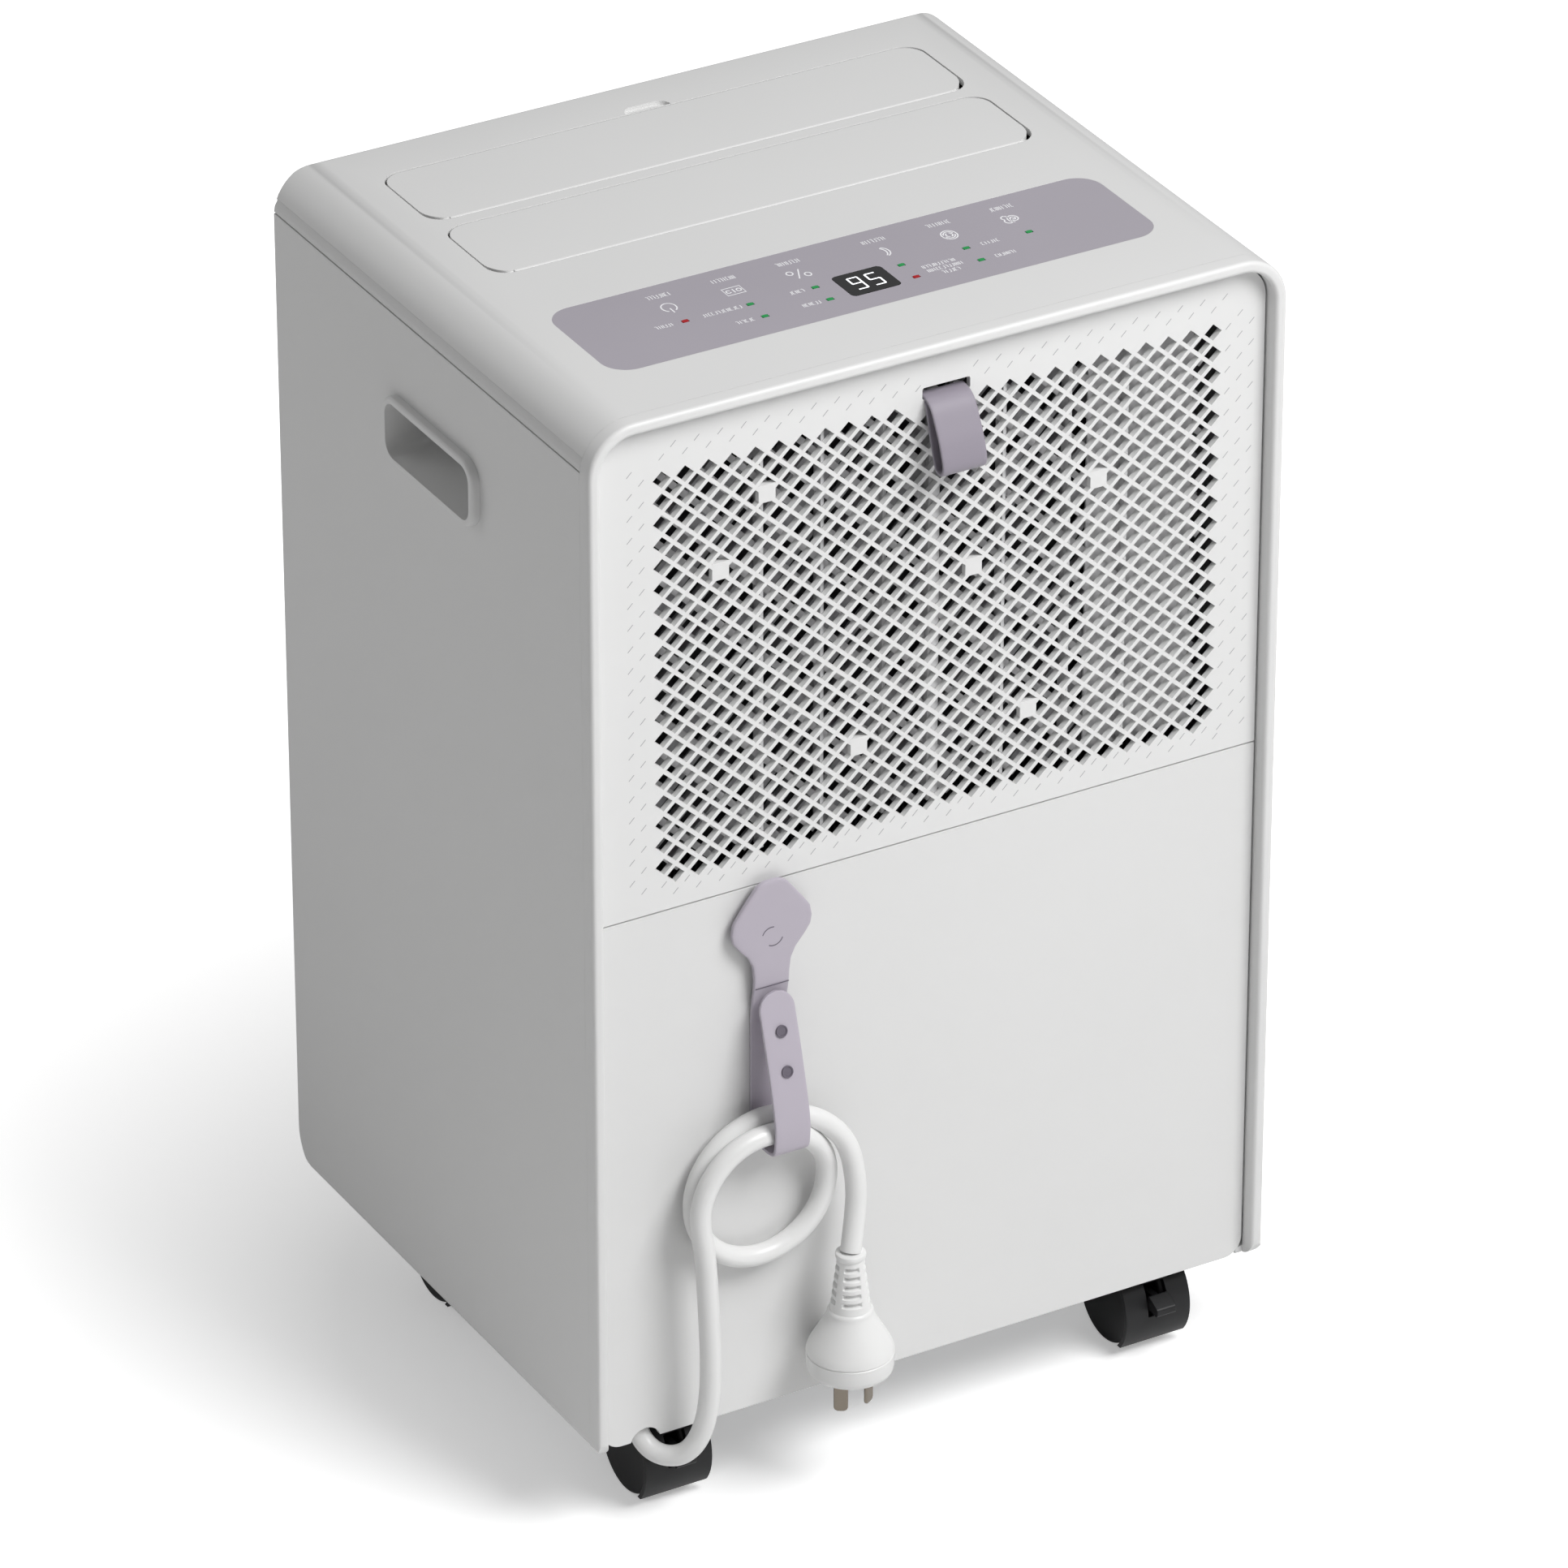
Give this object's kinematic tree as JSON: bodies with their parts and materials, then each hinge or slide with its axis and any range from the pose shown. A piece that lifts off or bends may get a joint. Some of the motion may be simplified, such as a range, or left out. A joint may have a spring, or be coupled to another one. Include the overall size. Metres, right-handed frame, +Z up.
{
  "type": "portable dehumidifier",
  "caption": "Upright dehumidifier on casters: latticed filter cover, slide-out water tank, outlet flaps, side hand grips and a strapped mains cord.",
  "frame": {"origin": "centre of the footprint on the floor, mains cord left out; the strap's front face counts as the rear limit", "axes": "+Z up; the water tank and the user's side face -Y, the inlet filter and cord face +Y; +X is the right-hand side seen from the front"},
  "size_m": [0.344, 0.3125, 0.5441],
  "materials": {
    "white_casing": "fine-textured white ABS",
    "inner_plastic": "plain moulded polypropylene",
    "link_plastic": "acetal",
    "filter_net": "woven nylon net in a moulded frame",
    "lilac_ribbon": "woven ribbon",
    "lilac_silicone": "satin silicone",
    "overlay_film": "printed film, satin",
    "display_lens": "smoked acrylic",
    "lamp_green": "light guide",
    "lamp_red": "light guide",
    "circuit_board": "glass-epoxy board",
    "tank_plastic": "translucent polypropylene",
    "window_plastic": "tinted transparent ABS",
    "float_plastic": "foamed polypropylene",
    "coil_aluminium": "blue-grey fins",
    "fan_plastic": "glass-filled polypropylene",
    "galvanised_steel": "zinc spangle",
    "black_enamel": "black enamel",
    "grommet_rubber": "matt rubber",
    "copper_pipe": "drawn copper tube",
    "capacitor_case": "moulded case",
    "caster_plastic": "black nylon",
    "wheel_plastic": "black nylon",
    "cord_pvc": "white flexible PVC",
    "plug_brass": "nickel-free brass"
  },
  "bodies": {
    "casing": {"base_pan": "galvanised_steel", "side_panel_left": "white_casing", "side_panel_right": "white_casing", "top_cover": "white_casing", "front_panel": "white_casing", "rear_frame": "white_casing", "rear_lower_panel": "white_casing", "handle_cup_right": "white_casing", "handle_cup_left": "white_casing", "control_overlay": "overlay_film", "display_window": "display_lens", "indicator_lamps_green": "lamp_green", "indicator_lamps_red": "lamp_red", "display_board": "circuit_board", "outlet_grille": "inner_plastic", "bay_back_wall": "inner_plastic", "bay_ceiling": "inner_plastic", "tank_switch": "inner_plastic", "drip_tray": "inner_plastic", "evaporator": "coil_aluminium", "condenser": "coil_aluminium", "fan_scroll": "inner_plastic", "fan_motor": "galvanised_steel", "compressor": "black_enamel", "compressor_grommets": "grommet_rubber", "refrigerant_pipes": "copper_pipe", "control_board": "circuit_board", "run_capacitor": "capacitor_case", "cord_gland": "cord_pvc", "cord_strap": "lilac_silicone", "cord_coil": "cord_pvc", "cord_tail": "cord_pvc", "cord_drop": "cord_pvc", "strain_relief": "cord_pvc", "plug_body": "cord_pvc", "plug_pins": "plug_brass"},
    "filter_door": {"filter_cover": "white_casing", "filter_mesh": "filter_net", "filter_pull_strap": "lilac_ribbon"},
    "flap_front": {"outlet_flap_front": "white_casing"},
    "flap_rear": {"outlet_flap_rear": "white_casing"},
    "flap_link": {"outlet_link": "link_plastic"},
    "tank": {"water_tank": "tank_plastic", "tank_cover": "white_casing", "tank_window": "window_plastic"},
    "bail": {"tank_bail": "inner_plastic"},
    "float": {"tank_float": "float_plastic"},
    "fan": {"fan_wheel": "fan_plastic"},
    "caster_rear_right": {"caster_fork_rear_right": "caster_plastic"},
    "wheels_rear_right": {"caster_wheels_rear_right": "wheel_plastic"},
    "brake_right": {"caster_brake_right": "caster_plastic"},
    "caster_rear_left": {"caster_fork_rear_left": "caster_plastic"},
    "wheels_rear_left": {"caster_wheels_rear_left": "wheel_plastic"},
    "brake_left": {"caster_brake_left": "caster_plastic"},
    "caster_front_right": {"caster_fork_front_right": "caster_plastic"},
    "wheels_front_right": {"caster_wheels_front_right": "wheel_plastic"},
    "caster_front_left": {"caster_fork_front_left": "caster_plastic"},
    "wheels_front_left": {"caster_wheels_front_left": "wheel_plastic"}
  },
  "joints": [
    {"name": "filter_door_tilt", "type": "hinge", "parent": "casing", "child": "filter_door", "pos_m": [0, 0.123, 0.3074], "axis": [-1, 0, 0], "range_deg": [0, 28]},
    {"name": "flap_front_hinge", "type": "hinge", "parent": "casing", "child": "flap_front", "pos_m": [0, -0.0718, 0.5426], "axis": [-1, 0, 0], "range_deg": [0, 70]},
    {"name": "flap_rear_hinge", "type": "hinge", "parent": "casing", "child": "flap_rear", "pos_m": [0, -0.0148, 0.5426], "axis": [-1, 0, 0], "range_deg": [0, 70]},
    {"name": "flap_link_pin", "type": "hinge", "parent": "flap_front", "child": "flap_link", "pos_m": [0.125, -0.0718, 0.5286], "axis": [-1, 0, 0], "range_deg": [-70, 0]},
    {"name": "tank_slide", "type": "slide", "parent": "casing", "child": "tank", "axis": [0, -1, 0], "range_m": [0, 0.22]},
    {"name": "tank_bail_hinge", "type": "hinge", "parent": "tank", "child": "bail", "pos_m": [0, -0.0795, 0.199], "axis": [-1, 0, 0], "range_deg": [0, 90]},
    {"name": "tank_float_hinge", "type": "hinge", "parent": "tank", "child": "float", "pos_m": [0.131, -0.025, 0.185], "axis": [-1, 0, 0], "range_deg": [0, 12]},
    {"name": "fan_spin", "type": "hinge", "parent": "casing", "child": "fan", "pos_m": [0, -0.061, 0.389], "axis": [0, 1, 0], "continuous": true},
    {"name": "caster_rear_right_swivel", "type": "hinge", "parent": "casing", "child": "caster_rear_right", "pos_m": [0.122, 0.082, 0.05], "axis": [0, 0, 1], "continuous": true},
    {"name": "wheels_rear_right_roll", "type": "hinge", "parent": "caster_rear_right", "child": "wheels_rear_right", "pos_m": [0.122, 0.096, 0.021], "axis": [1, 0, 0], "continuous": true},
    {"name": "brake_right_press", "type": "hinge", "parent": "caster_rear_right", "child": "brake_right", "pos_m": [0.122, 0.108, 0.027], "axis": [-1, 0, 0], "range_deg": [0, 14]},
    {"name": "caster_rear_left_swivel", "type": "hinge", "parent": "casing", "child": "caster_rear_left", "pos_m": [-0.122, 0.082, 0.05], "axis": [0, 0, 1], "continuous": true},
    {"name": "wheels_rear_left_roll", "type": "hinge", "parent": "caster_rear_left", "child": "wheels_rear_left", "pos_m": [-0.122, 0.096, 0.021], "axis": [1, 0, 0], "continuous": true},
    {"name": "brake_left_press", "type": "hinge", "parent": "caster_rear_left", "child": "brake_left", "pos_m": [-0.122, 0.108, 0.027], "axis": [-1, 0, 0], "range_deg": [0, 14]},
    {"name": "caster_front_right_swivel", "type": "hinge", "parent": "casing", "child": "caster_front_right", "pos_m": [0.122, -0.096, 0.05], "axis": [0, 0, 1], "continuous": true},
    {"name": "wheels_front_right_roll", "type": "hinge", "parent": "caster_front_right", "child": "wheels_front_right", "pos_m": [0.122, -0.082, 0.021], "axis": [1, 0, 0], "continuous": true},
    {"name": "caster_front_left_swivel", "type": "hinge", "parent": "casing", "child": "caster_front_left", "pos_m": [-0.122, -0.096, 0.05], "axis": [0, 0, 1], "continuous": true},
    {"name": "wheels_front_left_roll", "type": "hinge", "parent": "caster_front_left", "child": "wheels_front_left", "pos_m": [-0.122, -0.082, 0.021], "axis": [1, 0, 0], "continuous": true}
  ],
  "couplings": [
    {"joint": "flap_rear_hinge", "follows": "flap_front_hinge", "ratio": 1},
    {"joint": "flap_link_pin", "follows": "flap_front_hinge", "ratio": -1}
  ]
}
